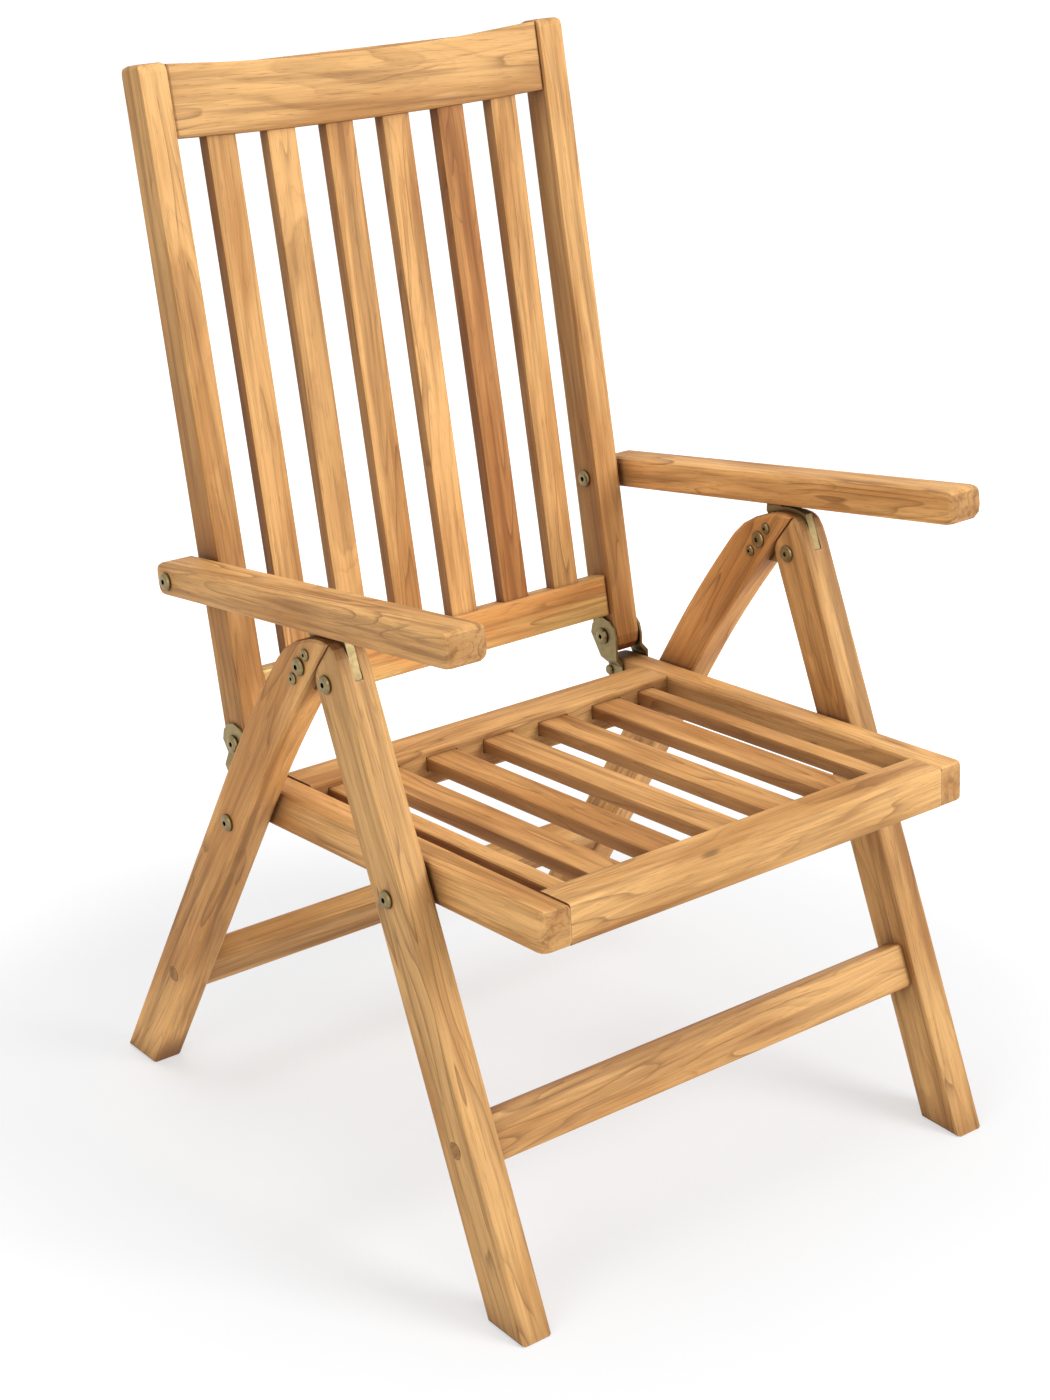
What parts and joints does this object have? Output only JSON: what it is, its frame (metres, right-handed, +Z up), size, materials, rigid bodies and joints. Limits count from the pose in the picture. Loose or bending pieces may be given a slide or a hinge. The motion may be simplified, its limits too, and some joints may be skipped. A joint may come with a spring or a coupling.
{
  "type": "folding armchair",
  "caption": "Folding wooden garden armchair with slatted seat, slatted reclining back, hinged crossed legs and long armrests that tilt as the back moves.",
  "frame": {"origin": "centre of the bounding box at the floor, between the four feet", "axes": "+Z up, -Y the way the sitter faces, +X along the seat's width; left and right in the names are as seen from the front"},
  "size_m": [0.6412, 0.6958, 1.0532],
  "materials": {
    "front_leg_teak": "oiled, matt, open grain",
    "hardware": "aged, satin",
    "rear_leg_teak": "oiled, matt, open grain",
    "seat_rail_teak": "oiled, matt, open grain",
    "seat_slat_teak": "oiled, matt, open grain",
    "back_teak": "oiled, matt, open grain",
    "dark_slat_teak": "oiled, matt, open grain",
    "arm_teak": "oiled, matt, open grain"
  },
  "bodies": {
    "front_legs": {"front_leg_left": "front_leg_teak", "hinge_bolt_left": "hardware", "seat_bolt_left": "hardware", "front_plug_left": "front_leg_teak", "front_leg_right": "front_leg_teak", "hinge_bolt_right": "hardware", "seat_bolt_right": "hardware", "front_plug_right": "front_leg_teak", "front_stretcher": "front_leg_teak"},
    "rear_legs": {"rear_leg_left": "rear_leg_teak", "hinge_plate_left": "hardware", "upper_rivet_left": "hardware", "plate_bolt_left": "hardware", "lower_rivet_left": "hardware", "rest_pin_left": "hardware", "rear_plug_left": "rear_leg_teak", "rear_leg_right": "rear_leg_teak", "hinge_plate_right": "hardware", "upper_rivet_right": "hardware", "plate_bolt_right": "hardware", "lower_rivet_right": "hardware", "rest_pin_right": "hardware", "rear_plug_right": "rear_leg_teak", "rear_stretcher": "rear_leg_teak"},
    "seat": {"seat_side_rail_left": "seat_rail_teak", "outer_strap_left": "hardware", "inner_strap_left": "hardware", "strap_bolt_left": "hardware", "seat_side_rail_right": "seat_rail_teak", "outer_strap_right": "hardware", "inner_strap_right": "hardware", "strap_bolt_right": "hardware", "seat_front_rail": "seat_rail_teak", "seat_rear_rail": "seat_rail_teak", "seat_slat_1": "seat_slat_teak", "seat_slat_2": "seat_slat_teak", "seat_slat_3": "seat_slat_teak", "seat_slat_4": "seat_slat_teak", "seat_slat_5": "seat_slat_teak", "seat_slat_6": "seat_slat_teak", "seat_slat_7": "seat_slat_teak"},
    "back_pivots": {"back_bolt_left": "hardware", "back_bolt_right": "hardware"},
    "back": {"back_stile_left": "back_teak", "back_stile_right": "back_teak", "back_bottom_rail": "back_teak", "back_top_rail": "back_teak", "back_slat_1": "back_teak", "back_slat_2": "back_teak", "back_slat_3": "back_teak", "back_slat_4": "back_teak", "back_slat_5": "dark_slat_teak", "back_slat_6": "back_teak"},
    "arm_pivot_left": {"arm_bolt_left": "hardware"},
    "arm_pivot_right": {"arm_bolt_right": "hardware"},
    "arm_left": {"arm_left": "arm_teak", "arm_rack_left": "hardware"},
    "arm_right": {"arm_right": "arm_teak", "arm_rack_right": "hardware"}
  },
  "joints": [
    {"name": "leg_fold", "type": "hinge", "parent": "front_legs", "child": "rear_legs", "pos_m": [0, -0.0634, 0.5555], "axis": [-1, 0, 0], "range_deg": [0, 54.5]},
    {"name": "seat_fold", "type": "hinge", "parent": "front_legs", "child": "seat", "pos_m": [0, -0.15084, 0.37446], "axis": [1, 0, 0], "range_deg": [0, 70.1]},
    {"name": "back_fold", "type": "hinge", "parent": "seat", "child": "back_pivots", "pos_m": [0, 0.17011, 0.40594], "axis": [1, 0, 0], "range_deg": [0, 98.1]},
    {"name": "recline", "type": "hinge", "parent": "back_pivots", "child": "back", "pos_m": [0, 0.17011, 0.40594], "axis": [-1, 0, 0], "range_deg": [0, 28]},
    {"name": "arm_fold_left", "type": "hinge", "parent": "back", "child": "arm_pivot_left", "pos_m": [-0.282, 0.20689, 0.57706], "axis": [-1, 0, 0], "range_deg": [0, 93.3]},
    {"name": "arm_fold_right", "type": "hinge", "parent": "back", "child": "arm_pivot_right", "pos_m": [0.282, 0.20689, 0.57706], "axis": [-1, 0, 0], "range_deg": [0, 93.3]},
    {"name": "arm_tilt_left", "type": "hinge", "parent": "arm_pivot_left", "child": "arm_left", "pos_m": [-0.282, 0.20689, 0.57706], "axis": [1, 0, 0], "range_deg": [0, 22.4]},
    {"name": "arm_tilt_right", "type": "hinge", "parent": "arm_pivot_right", "child": "arm_right", "pos_m": [0.282, 0.20689, 0.57706], "axis": [1, 0, 0], "range_deg": [0, 22.4]}
  ],
  "couplings": [
    {"joint": "seat_fold", "follows": "leg_fold", "ratio": 1.28},
    {"joint": "back_fold", "follows": "leg_fold", "ratio": 1.794},
    {"joint": "arm_fold_left", "follows": "leg_fold", "ratio": 1.706},
    {"joint": "arm_fold_right", "follows": "leg_fold", "ratio": 1.706},
    {"joint": "arm_tilt_left", "follows": "recline", "ratio": 0.79},
    {"joint": "arm_tilt_right", "follows": "recline", "ratio": 0.79}
  ]
}
